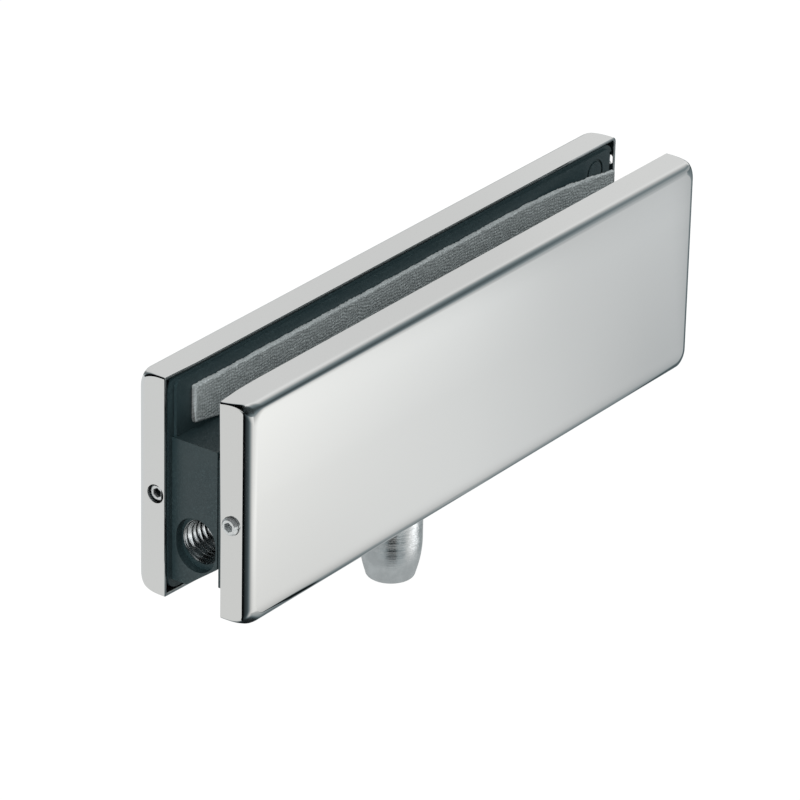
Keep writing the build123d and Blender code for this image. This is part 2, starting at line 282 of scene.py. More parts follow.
# places in mm; four numbers are the span of a place and what it goes from and to
floorSet = {
    "half": 1500.0, "height": -20.0,         # half its side, and where the pin's tip stands
    "front": -15.0,                          # y of the front face, from which ahead is counted
    "slope": 1.382, "slant": (1.069, 70.0),  # how far along a mirrored line of sight runs, for each mm ahead
    "rise": 1.23, "foot": 20.5,              # mm ahead for each mm up the face, and the face's height over the floor
    "faceSpan": (-75, 100),                  # x on the face, from 0 to 1 below
    "along": [(0, .885), (.26, .850), (.486, .818), (.714, .768), (.90, .740), (1, .735)],
    # lifts of the tone by the height on the face, each faded by x on the face
    "lower": (2, 30, -.050, 0), "lowerFade": (-70, 12, 1, 0),
    "upper": (26, 48, 0, .045), "upperFade": (-10, 75, 1, 0),
    "farTilt": (5, 46, -.035, .03), "farFade": (40, 92, 0, 1),
    # by the distance ahead, what the rounded lower edge shows (a painted contact shadow in front of the clamp), where
    # it starts and how much is left towards the far end
    "apron": [
        (-12, .40), (-4, .43), (4, .50), (8.3, .565), (13, .63), (19.2, .71), (25.8, .79), (26.1, .845), (26.7, .915),
        (27.3, .955), (28, .985), (29, 1)],
    "apronStart": (-76, -64, 0, 1), "apronShare": [(0, 1), (.28, 1), (.50, .70), (.95, .55)],
    # by the distance ahead, what the rounded upper edge shows as painted reflection tones, at three places along
    "beyondNear": [(83, 1), (137, .958), (252, .86), (800, .695), (1400, .60)],
    "beyondMiddle": [(80, 1), (88, .95), (98, .90), (122, .85), (222, .77), (570, .69), (1400, .62)],
    "beyondFar": [(74, 1), (86, .965), (95, .93), (118, .885), (215, .85), (570, .82), (1400, .80)],
    "beyondStart": (-75, -60, 0, 1),
    "beyond": ((.05, "beyondNear"), (.57, "beyondMiddle"), (.86, "beyondFar")),
    # painted shadow under the clamp and behind it, by y, between the two ends
    "under": [(-15, .52), (-8, .58), (-3, .85), (12, .90), (32, 1)],
    "underNear": (-96, -60, 0, 1), "underFar": (96, 122, 1, 0), "behindTone": .785,
    # round the near vertical edge and the far one, painted dark reflections by the angle on the floor counted from the
    # second number
    "nearEdge": (-70.0, 0.0), "farEdge": (94.0, -144.0),
    "nearCorner": [
        (60, .86), (100, .82), (110, .90), (116, 1), (146.5, 1), (149, .03), (155, .02), (166, .10), (179, .22),
        (192, .28), (204, .315), (215, .375), (227, .52), (238, .67), (250, .81), (262, .90), (275, .955), (290, .99),
        (300, 1)],
    "farCorner": [
        (-35, 1), (-33.6, .97), (-32.9, .92), (-32.3, .84), (-31, .76), (-25, .68), (-10, .62), (10, .58), (30, .62),
        (50, 1)],
    # what passes the painted dark card: flat below the first angle from lower than so high, steep above the other from
    # higher
    "flatPass": ((22.5, 24.5, 1, 0), (62, 67, 1, 0)), "steepPass": ((31, 35, 0, 1), (26, 30, 0, 1)),
    "darkSpot": {"place": (-66, -15), "reach": (9, 22), "below": (26, 30, 1, 0), "tone": .16},
    # painted reflection tones that the pin shows round itself, by the angle from its axis: a painted dark spot towards
    # the camera and a painted highlight to the right
    "roundPin": [
        (0, .53), (60, .58), (142, .59), (178, .58), (200, .53), (210, .12), (229, .08), (237, .42), (247, .50),
        (258, .53), (268, .66), (279, .84), (291, .74), (305, .64), (330, .56), (360, .53)],
    "pin": {"radius": 7.0, "fall": .9, "miss": (3, 6, 1, 0), "length": (45, 48, 1, 0)},
    "nearPin": {"reach": (13, 19, 1, 0), "tone": .62},
    "nearTint": (1, .995, .972), "farTint": (.970, .993, 1), "coolSpan": (.3, .75),
    "mattTone": (.9, .9, .9), "whiteLight": 1.05, "mattShare": .06,
}


def makeFloor():
    # a plain pale floor; for glossy rays it glows with painted reflection tones set for the metal: a painted soft
    # fall-off, darker towards the camera, and a painted shadow under the clamp.
    # The tone at (x, y) is what the front cover shows where its mirrored line of sight lands there:
    # faceX = x - min(slope * ahead, slant * sqrt(ahead^2 + 70^2)) and faceHeight = ahead / rise - foot
    s = floorSet
    half, height = s["half"] * mm, s["height"] * mm
    corners = [[(-half, -half, height), (half, -half, height)], [(-half, half, height), (half, half, height)]]
    floor = gridMesh("floor", np.array(corners), flip=True)
    material, tree = freshMaterial("paleFloor")
    x, y = (times(tree, axis, 1 / mm) for axis in put(tree, "SeparateXYZ", {0: onObject(tree)}).outputs[:2])
    ahead = calc(tree, "SUBTRACT", s["front"], y)
    faceHeight = calc(tree, "SUBTRACT", calc(tree, "DIVIDE", ahead, s["rise"]), s["foot"])
    steepest, nearest = s["slant"]
    slant = times(tree, calc(tree, "SQRT", calc(tree, "MULTIPLY_ADD", ahead, ahead, nearest ** 2)), steepest)
    faceX = calc(tree, "SUBTRACT", x, calc(tree, "MINIMUM", times(tree, ahead, s["slope"]), slant))
    share = evenly(tree, faceX, *s["faceSpan"], 0, 1)

    # the flat front face, as painted reflection tones
    lifts = [times(tree, evenly(tree, faceHeight, *s[lift]), spread(tree, faceX, *s[fade]))
             for lift, fade in (("lower", "lowerFade"), ("upper", "upperFade"), ("farTilt", "farFade"))]
    tone = ramp(tree, share, s["along"])
    for lift in lifts:
        tone = calc(tree, "ADD", tone, lift)

    # its rounded edges, below and above, as painted reflection tones, with a painted contact shadow in front of the
    # clamp below
    below = times(tree, spread(tree, x, *s["apronStart"]), staged(tree, share, s["apronShare"]))
    apron = blend(tree, below, 1.0, staged(tree, ahead, s["apron"]))
    beyond = between(tree, share, [(where, staged(tree, ahead, s[name])) for where, name in s["beyond"]])
    beyond = blend(tree, spread(tree, x, *s["beyondStart"]), 1.0, beyond)
    front = times(tree, times(tree, tone, apron), beyond)
    # painted shadow under the clamp and behind it, in the floor's reflection tone
    alongside = times(tree, spread(tree, x, *s["underNear"]), spread(tree, x, *s["underFar"]))
    shadowBeneath = times(tree, blend(tree, alongside, 1.0, staged(tree, y, s["under"])), s["behindTone"])
    inFront = calc(tree, "GREATER_THAN", ahead, 0.0)
    level = blend(tree, inFront, shadowBeneath, front)

    def roundEdge(edgeX, low):
        # the angle on the floor round a vertical edge of the front face
        return bearing(tree, calc(tree, "SUBTRACT", y, s["front"]), calc(tree, "SUBTRACT", x, edgeX), low)

    # a painted dark card by the near end, drawn into the floor's reflection tone: what the end's flat faces mirror
    # passes it, told by where the ray started:
    # sqrt(length^2 - distance^2) above the floor
    path = put(tree, "LightPath").outputs
    length = times(tree, path["Ray Length"], 1 / mm)
    fromEdge = distance(tree, x, y, s["nearEdge"][0], s["front"])
    square = calc(tree, "SUBTRACT", times(tree, length, length), times(tree, fromEdge, fromEdge))
    start = calc(tree, "SQRT", calc(tree, "MAXIMUM", square, 0.0))
    steep = bearing(tree, start, fromEdge)
    passes = [times(tree, spread(tree, steep, *s[name][0]), spread(tree, start, *s[name][1]))
              for name in ("flatPass", "steepPass")]
    nearWedge = staged(tree, roundEdge(*s["nearEdge"]), s["nearCorner"])
    nearWedge = blend(tree, calc(tree, "MAXIMUM", *passes), nearWedge, 1.0)
    wedge = times(tree, nearWedge, staged(tree, roundEdge(*s["farEdge"]), s["farCorner"]))
    level = times(tree, level, wedge)
    # a painted dark spot in the floor's reflection tone by the near end, for lines of sight that start low
    spot = s["darkSpot"]
    inSpot = spread(tree, distance(tree, x, y, *spot["place"]), *spot["reach"], 1, 0)
    level = blend(tree, times(tree, inSpot, spread(tree, start, *spot["below"])), level, spot["tone"])

    # a line of sight mirrored by the pin's side reaches the floor at radius + fall * its length from the axis; there
    # the floor shows the pin's painted reflection tones
    pin = s["pin"]
    fromAxis = distance(tree, x, y)
    landing = calc(tree, "MULTIPLY_ADD", length, pin["fall"], pin["radius"])
    miss = calc(tree, "ABSOLUTE", calc(tree, "SUBTRACT", landing, fromAxis))
    byPin = times(tree, spread(tree, miss, *pin["miss"]), spread(tree, length, *pin["length"]))
    level = blend(tree, byPin, level, staged(tree, bearing(tree, y, x, 0.0), s["roundPin"]))
    # painted shade on the floor round the pin's foot
    level = blend(tree, spread(tree, fromAxis, *s["nearPin"]["reach"]), level, s["nearPin"]["tone"])

    matt = put(tree, "BsdfDiffuse", {"Color": opaque(s["mattTone"])}).outputs[0]
    tint = blendColour(tree, share, s["nearTint"], s["farTint"])
    tint = blendColour(tree, spread(tree, level, *s["coolSpan"], 0, 1), lightSet["coolShade"], tint)
    # the painted reflection tones glow for glossy rays only; camera rays see the evenly white floor with a faint real
    # shadow
    mirrored = put(tree, "Emission", {"Color": tint, "Strength": lightFor(tree, level)}).outputs[0]
    white = put(tree, "Emission", {"Color": (1, 1, 1, 1), "Strength": s["whiteLight"]}).outputs[0]
    shown = put(tree, "MixShader", {0: s["mattShare"], 1: white, 2: matt}).outputs[0]
    glossy = put(tree, "MixShader", {0: path["Is Glossy Ray"], 1: matt, 2: mirrored}).outputs[0]
    seen = calc(tree, "MAXIMUM", path["Is Camera Ray"], path["Is Transmission Ray"])
    put(tree, "OutputMaterial", {"Surface": put(tree, "MixShader", {0: seen, 1: glossy, 2: shown}).outputs[0]})
    floor.data.materials.append(material)


def makeLamp(name, place, target, size, power, inMetal=False, only=None):
    # a round lamp that looks from its place to the target; with only, it lights just the named pieces
    lamp = bpy.data.objects.new(name, bpy.data.lights.new(name, "AREA"))
    lamp.data.shape, lamp.data.size, lamp.data.energy = "DISK", size, power
    lamp.location = place
    lamp.rotation_euler = (Vector(target) - Vector(place)).to_track_quat("-Z", "Y").to_euler()
    lamp.visible_glossy, lamp.visible_camera = inMetal, False
    bpy.context.scene.collection.objects.link(lamp)
    if only:
        group = bpy.data.collections.new(name + "Receivers")
        for thing in only:
            group.objects.link(thing)
        lamp.light_linking.receiver_collection = group


# place, target, size and power of each lamp
lampSet = {
    "keyLamp": ((-0.55, -0.05, 0.75), (0, 0, 0.02), 0.35, 3.0),
    "sideLamp": ((-0.64, -0.20, 0.22), (-0.06, 0, 0.02), 0.16, 5.9),
    "farLamp": ((0.30, -0.50, 0.40), (0.07, 0.007, 0.035), 0.2, 4.5),
    "pinGlow": ((0.0115, -0.0225, -0.014), (0, -0.006, -0.006), 0.011, 0.00036),
    "threadGlow": ((-0.118, -0.022, -0.004), (-0.06, 0.002, 0.012), 0.05, 0.008),
}

makeWorld()
makeFloor()
makeLamp("keyLamp", *lampSet["keyLamp"])
castings = [nodes["back_body"], nodes["front_clamp_plate"]]
makeLamp("sideLamp", *lampSet["sideLamp"], only=castings)
makeLamp("farLamp", *lampSet["farLamp"], only=castings)
makeLamp("pinGlow", *lampSet["pinGlow"], True, [nodes["pivot_pin"]])
print("studio set")


# finishes of the metal; a scale is in patches per metre, a bump is its strength and its depth in metres

noiseSpan = (.3, .7)                         # where most of a noise lies
patchSpan = (.35, .65, 0, 1)                 # a noise as clear patches

steelSet = {
    "tone": (0.80, 0.81, 0.81), "roughness": (0.035, 0.075),
    "hazeScale": (60, 900, 900), "hazeShare": .6,            # polishing marks along the sheet
    "waveScale": 22.0, "wave": (0.004, .0004),               # the sheet's shallow waviness
    "cutTone": (0.30, 0.335, 0.34), "cutShade": .6, "cutRoughness": .38, "cutScale": 700.0,    # unpolished places
}
castSet = {
    "tone": (0.008, 0.016, 0.018), "edgeTone": (0.036, 0.058, 0.062), "roughness": (0.40, 0.56), "specular": 0.6,
    "grain": 2600, "grainSpan": (.45, .8, 0, .5), "mottle": 160.0, "mottleSpan": (.35, .7, .3, 1),
    "bump": (.35, .00012),
}
turnedSet = {
    "tone": (0.90, 0.92, 0.93), "shade": .86, "ringsPerMetre": 3000, "roughness": (0.10, 0.24), "lineShare": .6,
    "wander": (260.0, .35), "stain": 330.0, "bump": (.8, .00008),
}
screwSet = {
    "tone": (0.80, 0.83, 0.84), "shade": .88, "metallic": 0.82, "roughness": (0.20, 0.36), "marks": 900.0,
    "paintedSocketShade": (0.12, 0.14, 0.145), "bump": (.05, .00004),
    # painted shade fills the sockets of the cover screws, which lie between these distances from the middle of the
    # clamp, in metres
    "middle": .012, "socketEnd": (.0805, .0812, 1, 0), "socketFloor": (.070, .071, 0, 1),
}


def polishedSteel():
    # bright steel: a mirror with a faint polishing haze along its length, and a very shallow waviness of the sheet;
    # roughness = haze * hazeShare + wave * (1 - hazeShare), and the unpolished places are grey and cloudy
    s = steelSet
    material, tree = freshMaterial("polishedSteel")
    place = onObject(tree)
    stretched = put(tree, "Mapping", {"Vector": place, "Scale": s["hazeScale"]}).outputs[0]
    haze = noise(tree, stretched, 1.0, 5.0, .6)
    wide = noise(tree, place, s["waveScale"], 1.0)
    mixed = calc(tree, "MULTIPLY_ADD", haze, s["hazeShare"], times(tree, wide, 1 - s["hazeShare"]))
    rough = evenly(tree, mixed, *noiseSpan, *s["roughness"])
    dull = put(tree, "Attribute", attribute_name="unpolished").outputs["Fac"]     # the cut of the lip, the inner side
    cloudy = spread(tree, noise(tree, place, s["cutScale"], 4.0), *patchSpan)
    cut = blendColour(tree, cloudy, darker(s["cutTone"], s["cutShade"]), s["cutTone"])
    finishMaterial(tree, {
        "Base Color": blendColour(tree, dull, s["tone"], cut), "Metallic": 1.0,
        "Roughness": blend(tree, dull, rough, s["cutRoughness"]), "Normal": bumped(tree, wide, *s["wave"])})
    return material


def darkCasting():
    # black-coated casting: fine sandy grain, soft mottling, brighter by grain * mottle where the grain stands up
    s = castSet
    material, tree = freshMaterial("darkCasting")
    place = onObject(tree)
    grain = noise(tree, place, s["grain"], 3.0, .65)
    mottle = noise(tree, place, s["mottle"], 4.0)
    share = times(tree, spread(tree, grain, *s["grainSpan"]), spread(tree, mottle, *s["mottleSpan"]))
    finishMaterial(tree, {
        "Base Color": blendColour(tree, share, s["tone"], s["edgeTone"]),
        "Roughness": evenly(tree, mottle, *noiseSpan, *s["roughness"]),
        "Specular IOR Level": s["specular"], "Normal": bumped(tree, grain, *s["bump"])})
    return material


def turnedSteel(name, axis, tone):
    # turned steel: fine rings round the axis as bump and roughness, noise of place * ringsPerMetre + a little wander
    s = turnedSet
    material, tree = freshMaterial(name)
    place = onObject(tree)
    scale, reach = s["wander"]
    along = put(tree, "SeparateXYZ", {0: place}).outputs[axis]
    turns = calc(tree, "MULTIPLY_ADD", noise(tree, place, scale, 2.0), reach, times(tree, along, s["ringsPerMetre"]))
    rings = {"W": turns, "Scale": 1.0, "Detail": 4.0, "Roughness": .7}
    line = put(tree, "TexNoise", rings, noise_dimensions="1D").outputs[0]
    stain = noise(tree, place, s["stain"], 5.0)
    mixed = calc(tree, "MULTIPLY_ADD", line, s["lineShare"], times(tree, stain, 1 - s["lineShare"]))
    colour = blendColour(tree, spread(tree, stain, *patchSpan), darker(tone, s["shade"]), tone)
    finishMaterial(tree, {
        "Base Color": colour, "Metallic": 1.0, "Roughness": evenly(tree, mixed, *noiseSpan, *s["roughness"]),
        "Normal": bumped(tree, line, *s["bump"])})
    return material


def screwSteel():
    # small bright screws with fine handling marks, and painted shade in the sockets by the distance |x - middle|
    s = screwSet
    material, tree = freshMaterial("screwSteel")
    place = onObject(tree)
    marks = noise(tree, place, s["marks"], 3.0)
    colour = blendColour(tree, marks, darker(s["tone"], s["shade"]), s["tone"])
    x = put(tree, "SeparateXYZ", {0: place}).outputs[0]
    out = calc(tree, "ABSOLUTE", calc(tree, "SUBTRACT", x, s["middle"]))
    # painted shade: inside each socket recess the colour turns to the dark socket tone
    shadedSocket = times(tree, spread(tree, out, *s["socketEnd"]), spread(tree, out, *s["socketFloor"]))
    finishMaterial(tree, {
        "Base Color": blendColour(tree, shadedSocket, colour, s["paintedSocketShade"]), "Metallic": s["metallic"],
        "Roughness": evenly(tree, marks, *noiseSpan, *s["roughness"]), "Normal": bumped(tree, marks, *s["bump"])})
    return material


def dress(material, *names):
    # gives the named solids this material alone
    for name in names:
        slots = nodes[name].data.materials
        slots.clear()
        slots.append(material)


dress(darkCasting(), "back_body", "front_clamp_plate")
dress(turnedSteel("turnedSteel", 2, turnedSet["tone"]), "pivot_pin")
dress(screwSteel(), "pin_lock_screw", "near_clamp_screw", "far_clamp_screw", "back_near_cover_screw",
      "back_far_cover_screw", "front_near_cover_screw", "front_far_cover_screw")
print("finishes on the metal")


# the pressed covers, in mm; the back one is worked out and the front one is turned over in y

coverSet = {
    "near": -70.0, "far": 94.0, "low": 0.5, "high": 51.5, "lip": 7.2, "face": 15.0, "sheet": 0.8,
    "edge": 2.2,                             # radius all round the face
    "lipCorner": (0.5, 1.4), "lipChange": 12.0,       # corner radius at the lip, near and far, and where it changes
    "faceCorner": 4.8, "opening": 3.4,       # corner radius at the face, and how late it opens
    "leastCorner": .22, "cornerGap": .12,    # smallest radius of the inner side, and the gap beside a corner
    "rimRound": 0.12,                        # rounding of the cut edge
    "screw": (10.0, 2.12),                   # distance from the middle and radius of the screw holes
    "zone": 2.5,                             # half the width of the finer mesh round a screw hole
    "slot": (8.0, 45.8, 0.6, 1.15),          # middle y and z, half width and half height of the back cover's slot
    "notch": 9.6,                            # radius of the notch for the pin
    "room": 5.2, "nearRoom": 5.0,            # where the even columns of a side end, from its corner
    "topSplit": (-48, -44), "notchSplit": (-9, 9),   # x where the columns of the top and of the bottom change
    "beside": (.02, .4), "rimShare": .3,     # columns beside the notch, and the middle step of the rounded cut edge
    "wallEnd": 12.68, "faceGap": .08,        # last row of the wall, and how far in the face's own row lies
    # columns of a corner, a screw hole, the slot, below a hole, above it, up to the slot, along the top in two parts,
    # along the bottom in two parts, and rows of the rounded edge
    "steps": {"corner": 15, "hole": 17, "slot": 9, "below": 6, "above": 8, "toSlot": 6, "top": (12, 30),
              "bottom": (12, 16), "edge": 13},
    "lipSpan": (-60, 9, 20, 30),             # x and z from which the near lip changes, and over how many mm
    "drop": (-57, 13, 20, 13.5, 6.3),        # x, its span, the span of z, and y with its span, for the lowered corner
    "dropFrom": (30, 29),                    # its z before it is lowered and after
    "holeRows": (3, 13), "slotRows": (0, 3), "slotZone": 1.0, "trim": 3,     # rows and columns round an opening
    "inward": (.6, .5),                      # shares of the sheet that are inside, on the flats and on the edge
    "sharp": 38, "weld": 1e-7,               # angle of a sharp edge in degrees, and distance of doubles in metres
    # side, body, height of the screw holes, has the slot, how much deeper the near lip is, roll-off of the corner
    "front_cover_skin": (-1, "front_jaw", 23.0, False, -0.4, 1.1),
    "back_cover_skin": (1, "back_jaw", 24.1, True, 0.4, 0.0),
}


def outlinePoint(inset, radius, column):
    # a rounded rectangle made smaller by the inset: on the sides a fixed place, at the corners
    # centre + radius * (cos, sin)
    s = coverSet
    small = np.maximum(radius - inset, s["leastCorner"])
    reach = inset + small
    gap = s["cornerGap"]
    kind, first, second, turn = column                           # side or corner, its signs, and place or angle
    cornerX = np.where(first > 0, s["far"] - reach, s["near"] + reach)
    cornerZ = np.where(second > 0, s["high"] - reach, s["low"] + reach)
    roundX, roundZ = cornerX + small * np.cos(turn), cornerZ + small * np.sin(turn)
    level, upright = (kind == 1), (kind == 2)                    # top and bottom run along x, the ends along z
    sideX = np.where(first > 0, s["far"] - inset, s["near"] + inset)
    sideZ = np.where(second > 0, s["high"] - inset, s["low"] + inset)
    flatX = np.clip(turn, s["near"] + reach + gap, s["far"] - reach - gap)
    flatZ = np.clip(turn, s["low"] + reach + gap, s["high"] - reach - gap)
    x = np.where(level, flatX, np.where(upright, sideX, roundX))
    z = np.where(level, sideZ, np.where(upright, flatZ, roundZ))
    return x, z


def coverColumns(holeHeight, slotHeight):
    # once round the cover from the near lower corner: up the near end, along the top, down the far end and back;
    # a column is its kind (0 corner, 1 top or bottom, 2 end), the signs of its side, and its place or angle
    s = coverSet
    beyond, quarter = [999], math.pi / 2                          # a place beyond the side is clipped to its corner
    before = [-beyond[0]]
    steps = s["steps"]
    arc = np.linspace(0, quarter, steps["corner"])
    hole = holeHeight + s["zone"] * np.linspace(-1, 1, steps["hole"])
    slot = slotHeight + s["slotZone"] * np.linspace(-1, 1, steps["slot"])
    start = np.concatenate([before, np.linspace(s["low"] + s["room"], hole[0] - 1, steps["below"]), hole])
    nearEnd = np.concatenate([start, np.linspace(hole[-1] + 1, s["high"] - s["room"], steps["above"]), beyond])
    farEnd = np.concatenate([start, np.linspace(hole[-1] + 1, slot[0] - .9, steps["toSlot"]), slot, beyond])
    farStop = s["far"] - s["room"]
    (nearTop, farTop), (nearBottom, farBottom) = s["topSplit"], s["notchSplit"]
    top = np.concatenate([
        before, np.linspace(s["near"] + s["nearRoom"], nearTop, steps["top"][0]),
        np.linspace(farTop, farStop, steps["top"][1]), beyond])
    notch = math.sqrt(s["notch"] ** 2 - s["lip"] ** 2)
    close, clear = s["beside"]
    bottom = np.concatenate([
        before, np.linspace(s["near"] + s["room"], nearBottom, steps["bottom"][0]), [-notch - clear, -notch - close],
        np.linspace(-notch, notch, steps["hole"]), [notch + close, notch + clear],
        np.linspace(farBottom, farStop, steps["bottom"][1]), beyond])
    parts = [
        (2, -1, 0, nearEnd), (0, -1, 1, math.pi - arc), (1, 0, 1, top), (0, 1, 1, quarter - arc),
        (2, 1, 0, farEnd[::-1]), (0, 1, -1, -arc), (1, 0, -1, bottom[::-1]), (0, -1, -1, -quarter - arc)]
    columns = [np.stack([np.full(len(places), mark) for mark in marks] + [places]) for *marks, places in parts]
    return np.concatenate(columns, axis=1).astype(float)


def coverRows():
    # the section as (depth, inset): from the face over the rounded edge, start + edge * sin and edge * (1 - cos),
    # down the wall, round the lip and back up the inner side
    s = coverSet
    steps = s["steps"]
    wall = np.concatenate([s["screw"][0] + s["zone"] * np.linspace(-1, 1, steps["hole"]), [s["wallEnd"]]])
    turn = np.linspace(math.pi / 2, 0, steps["edge"])
    start, inner, bend, sheet = s["face"] - s["edge"], s["edge"] - s["sheet"], s["rimRound"], s["sheet"]
    flat, part = s["edge"] + s["faceGap"], s["rimShare"] * s["rimRound"]
    outerRows = [(s["face"], flat)]
    outerRows += [(start + s["edge"] * math.sin(a), s["edge"] * (1 - math.cos(a))) for a in turn]
    outerRows += [(y, 0) for y in wall[::-1]]
    rim = [(s["lip"] + bend, 0), (s["lip"] + part, part), (s["lip"], bend)]
    rim += [(y, sheet - inset) for y, inset in rim[::-1]]
    innerRows = [(y, sheet) for y in wall]
    innerRows += [(start + inner * math.sin(a), sheet + inner * (1 - math.cos(a))) for a in turn[::-2]]
    innerRows += [(s["face"] - sheet, flat)]
    outerWall = np.arange(len(outerRows) - 1, len(outerRows) - 1 - len(wall), -1)     # rows of the wall, lip first
    innerWall = len(outerRows) + len(rim) + np.arange(len(wall))
    return np.array(outerRows + rim + innerRows), outerWall, innerWall


def cornerDrop(x, y, z, rollOff, low):
    # how far the lip's near upper corner is lowered: rollOff * (way to the end)^2 * (way up)^1.5 * (way to the lip)
    startX, spanX, spanZ, startY, spanY = coverSet["drop"]
    toEnd, upward, toLip = (startX - x) / spanX, (z - low) / spanZ, (startY - y) / spanY
    return rollOff * np.clip(toEnd, 0, 1) ** 2 * np.clip(upward, 0, 1) ** 1.5 * np.clip(toLip, 0, 1)


def openPatch(points, keep, rows, columns, middle, height, size, straight):
    # takes a block of quads out of the wall and lays its edge round a hole: (a, b) on the edge of a square goes to
    # the angle pi / 4 * b / a, or a / b where that is smaller, and a slot is drawn apart by straight; gives the edge
    a, b = np.meshgrid(np.linspace(-1, 1, len(rows)), np.linspace(-1, 1, len(columns)), indexing="ij")
    safeA, safeB = np.where(a == 0, 1e-9, a), np.where(b == 0, 1e-9, b)
    upDown = math.pi / 4 * b / safeA + np.where(a > 0, 0, math.pi)
    angle = np.where(np.abs(a) >= np.abs(b), upDown, np.sign(b) * math.pi / 2 - math.pi / 4 * a / safeB)
    edge = (np.abs(a) == 1) | (np.abs(b) == 1)
    apart = straight * np.sign(np.round(np.sin(angle), 6))
    patch = points[np.ix_(rows, columns)]
    patch[..., 1] = np.where(edge, middle + size * np.cos(angle), patch[..., 1])
    patch[..., 2] = np.where(edge, height + size * np.sin(angle) + apart, patch[..., 2])
    points[np.ix_(rows, columns)] = patch
    keep[min(rows):max(rows), min(columns):max(columns)] = False
    grid = rows[:, None] * points.shape[1] + columns
    return np.concatenate([grid[0, :-1], grid[:-1, -1], grid[-1, :0:-1], grid[:0:-1, 0]])


def pressedCover(name, side, holeHeight, slotted, nearLip, rollOff):
    # the section carried round the outline; the corner radius at the depth y is
    # lipCorner + (faceCorner - lipCorner) * ((y - lip) / (face - lip)) ^ opening
    s = coverSet
    slotY, slotZ, halfWidth, halfHeight = s["slot"]
    columns = coverColumns(holeHeight, slotZ)
    kind, first, second, along = columns
    rows, outerWall, innerWall = coverRows()
    depth, inset = rows[:, :1], rows[:, 1:]
    nearRadius, farRadius = s["lipCorner"]
    atLip = np.where(np.where(kind == 1, along > s["lipChange"], first > 0), farRadius, nearRadius)
    share = np.clip((depth - s["lip"]) / (s["face"] - s["lip"]), 0, 1)
    x, z = outlinePoint(inset, atLip + (s["faceCorner"] - atLip) * share ** s["opening"], columns[:, None])

    # the notch, the lip at the near end and the roll-off of the near upper corner move the lip end of the wall
    start = s["face"] - s["edge"]
    inNotch = (kind == 1) & (second < 0) & (np.abs(x) < s["notch"])
    cut = np.where(inNotch, np.sqrt(np.maximum(s["notch"] ** 2 - x ** 2, 0)), 0)
    lipX, spanX, lipZ, spanZ = s["lipSpan"]
    upward = np.clip((z - lipZ) / spanZ, 0, 1) if nearLip < 0 else 1
    lip = np.maximum(s["lip"] + nearLip * np.clip((lipX - x) / spanX, 0, 1) * upward, cut)
    y = np.where(depth <= start, lip + (depth - s["lip"]) * (start - lip) / (start - s["lip"]), depth)
    z = z - cornerDrop(x, y, z, rollOff, s["dropFrom"][0])
    points = np.stack([x, np.broadcast_to(y, x.shape), z], axis=-1)

    # the openings: end, height, half the finer zone, first and last row of the block, and the hole's sizes
    count, around = x.shape
    index = np.arange(count * around).reshape(count, around)
    turned = np.roll(index, -1, 1)
    quads = np.stack([index[:-1], turned[:-1], turned[1:], index[1:]], axis=-1)
    keep = np.ones(quads.shape[:2], bool)
    extra = []
    openings = [(end, holeHeight, s["zone"], *s["holeRows"], *s["screw"], 0) for end in (-1, 1)]
    if slotted:
        openings.append((1, slotZ, s["slotZone"], *s["slotRows"], slotY, halfWidth, halfHeight - halfWidth))
    for end, height, half, lowRow, highRow, middle, size, straight in openings:
        near = np.where((kind == 2) & (first == end) & (np.abs(along - height) < half + .001))[0]
        near = near if half < s["zone"] else near[s["trim"]:-s["trim"]]
        near = near if end < 0 else near[::-1]
        outer, inner = (openPatch(points, keep, wallRows[lowRow:highRow + 1], near, middle, height, size, straight)
                        for wallRows in (outerWall, innerWall))
        extra += np.stack([outer, np.roll(outer, -1), np.roll(inner, -1), inner], axis=-1).tolist()

    faces = quads[keep].tolist() + extra + [index[0].tolist(), index[-1].tolist()]
    used = np.zeros(count * around, bool)
    used[np.concatenate([quads[keep].ravel(), np.array(extra).ravel(), index[0], index[-1]])] = True
    renumber = np.cumsum(used) - 1
    points = points.reshape(-1, 3)[used] * [1, side, 1]
    mesh = bpy.data.meshes.new(name)
    mesh.from_pydata((points * mm).tolist(), [], [renumber[face].tolist() for face in faces])
    shape = bmesh.new()
    shape.from_mesh(mesh)
    bmesh.ops.remove_doubles(shape, verts=shape.verts, dist=s["weld"])
    bmesh.ops.recalc_face_normals(shape, faces=shape.faces)
    shape.to_mesh(mesh)
    shape.free()
    mesh.shade_smooth()
    mesh.set_sharp_from_angle(angle=math.radians(s["sharp"]))
    piece = bpy.data.objects.new(name, mesh)
    bpy.context.scene.collection.objects.link(piece)
    return piece


def markUnpolished(piece, side, rollOff):
    # the flat of the lip and the inner side: where a point lies at least half a sheet inside the outer form,
    # which on the rounded edge is a quarter circle in from the corner of wall and face
    s = coverSet
    corner = np.zeros(len(piece.data.vertices) * 3, np.float32)
    piece.data.vertices.foreach_get("co", corner)
    x, y, z = (corner.reshape(-1, 3) / mm * [1, side, 1]).T
    z = z + cornerDrop(x, y, z, rollOff, s["dropFrom"][1])
    gap = np.minimum(np.minimum(x - s["near"], s["far"] - x), np.minimum(z - s["low"], s["high"] - z))
    onFlat, onEdge = (s["sheet"] * share for share in s["inward"])
    inside = (gap > onFlat) & (y < s["face"] - onFlat)
    start = s["face"] - s["edge"]
    out = np.hypot(np.maximum(s["edge"] - gap, 0), np.maximum(y - start, 0))
    inside &= ~((y > start) & (out > s["edge"] - onEdge))
    piece.data.attributes.new("unpolished", "FLOAT", "POINT").data.foreach_set("value", inside.astype(np.float32))


coverFinish = polishedSteel()
for name in ("front_cover_skin", "back_cover_skin"):
    side, body, holeHeight, slotted, nearLip, rollOff = coverSet[name]
    cover = pressedCover(name, side, holeHeight, slotted, nearLip, rollOff)
    markUnpolished(cover, side, rollOff)
    cover.data.materials.append(coverFinish)
    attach(cover, body)
    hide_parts(name.replace("_skin", ""))
print("covers pressed")


# the woven gaskets, in mm

